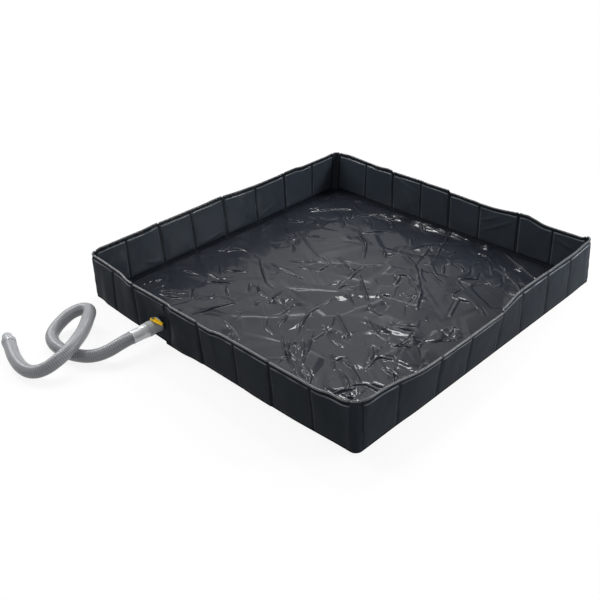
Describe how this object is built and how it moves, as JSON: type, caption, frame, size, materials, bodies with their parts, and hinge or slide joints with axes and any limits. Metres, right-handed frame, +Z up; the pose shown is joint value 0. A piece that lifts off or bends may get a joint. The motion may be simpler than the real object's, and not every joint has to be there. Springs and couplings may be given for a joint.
{
  "type": "spill containment tray",
  "caption": "Square collapsible spill containment tray with insert-stiffened folding walls, a drain ball valve with a lever and a corrugated drain hose.",
  "frame": {"origin": "on the ground under the middle of the square tray", "axes": "+Z up; the front wall with the drain faces -Y; +X to its right hand seen from the front"},
  "size_m": [1.2, 1.6054, 0.16],
  "materials": {
    "floor_liner": "PVC-coated polyester fabric, glossy, creased",
    "wall_liner": "PVC-coated polyester fabric, satin to glossy",
    "rim_bead": "PVC welting bead, glossy",
    "insert": "rigid twin-wall or solid plastic board, matte",
    "gasket": "rubber sealing ring",
    "fitting": "moulded light grey PVC",
    "nut": "moulded black PVC",
    "seat": "PTFE",
    "ball": "polished",
    "stem": "stainless steel",
    "lever": "moulded yellow plastic",
    "hose": "corrugated grey vinyl",
    "cuff": "moulded silver-grey vinyl"
  },
  "bodies": {
    "base": {"floor_sheet": "floor_liner", "front_fold_strip": "wall_liner", "back_fold_strip": "wall_liner", "front_left_gusset": "wall_liner", "front_right_gusset": "wall_liner", "back_left_gusset": "wall_liner", "back_right_gusset": "wall_liner"},
    "front_wall": {"front_outer_skin": "wall_liner", "front_inner_skin": "wall_liner", "front_inserts": "insert", "front_rim_beads": "rim_bead", "outer_gasket": "gasket", "inner_gasket": "gasket", "bulkhead_fitting": "fitting", "bulkhead_nut": "nut", "valve_body": "fitting", "ball_seats": "seat", "seat_carrier": "fitting", "stem_seal": "gasket", "union_nut": "fitting", "hose_tail": "fitting"},
    "back_wall": {"back_outer_skin": "wall_liner", "back_inner_skin": "wall_liner", "back_inserts": "insert", "back_rim_beads": "rim_bead"},
    "left_wall": {"left_outer_skin": "wall_liner", "left_inner_skin": "wall_liner", "left_inserts": "insert", "left_rim_beads": "rim_bead"},
    "right_wall": {"right_outer_skin": "wall_liner", "right_inner_skin": "wall_liner", "right_inserts": "insert", "right_rim_beads": "rim_bead"},
    "valve_handle": {"valve_ball": "ball", "valve_stem": "stem", "valve_lever": "lever", "lever_screw": "stem"},
    "hose": {"hose_cuff": "cuff", "drain_hose": "hose", "end_cuff": "cuff", "outlet_spigot": "cuff"}
  },
  "joints": [
    {"name": "front_wall_fold", "type": "hinge", "parent": "base", "child": "front_wall", "pos_m": [0, -0.592, 0.0098], "axis": [-1, 0, 0], "range_deg": [0, 90], "deforming": ["front_left_gusset", "front_right_gusset"]},
    {"name": "back_wall_fold", "type": "hinge", "parent": "base", "child": "back_wall", "pos_m": [0, 0.592, 0.0098], "axis": [1, 0, 0], "range_deg": [0, 90], "deforming": ["back_left_gusset", "back_right_gusset"]},
    {"name": "left_wall_fold", "type": "hinge", "parent": "base", "child": "left_wall", "pos_m": [-0.592, 0, 0.0014], "axis": [0, 1, 0], "range_deg": [0, 90]},
    {"name": "right_wall_fold", "type": "hinge", "parent": "base", "child": "right_wall", "pos_m": [0.592, 0, 0.0014], "axis": [0, -1, 0], "range_deg": [0, 90]},
    {"name": "valve_turn", "type": "hinge", "parent": "front_wall", "child": "valve_handle", "pos_m": [-0.205, -0.624, 0.058], "axis": [0, 0, -1], "range_deg": [0, 90]},
    {"name": "hose_pull_off", "type": "slide", "parent": "front_wall", "child": "hose", "axis": [0, -1, 0], "range_m": [0, 0.06]}
  ]
}
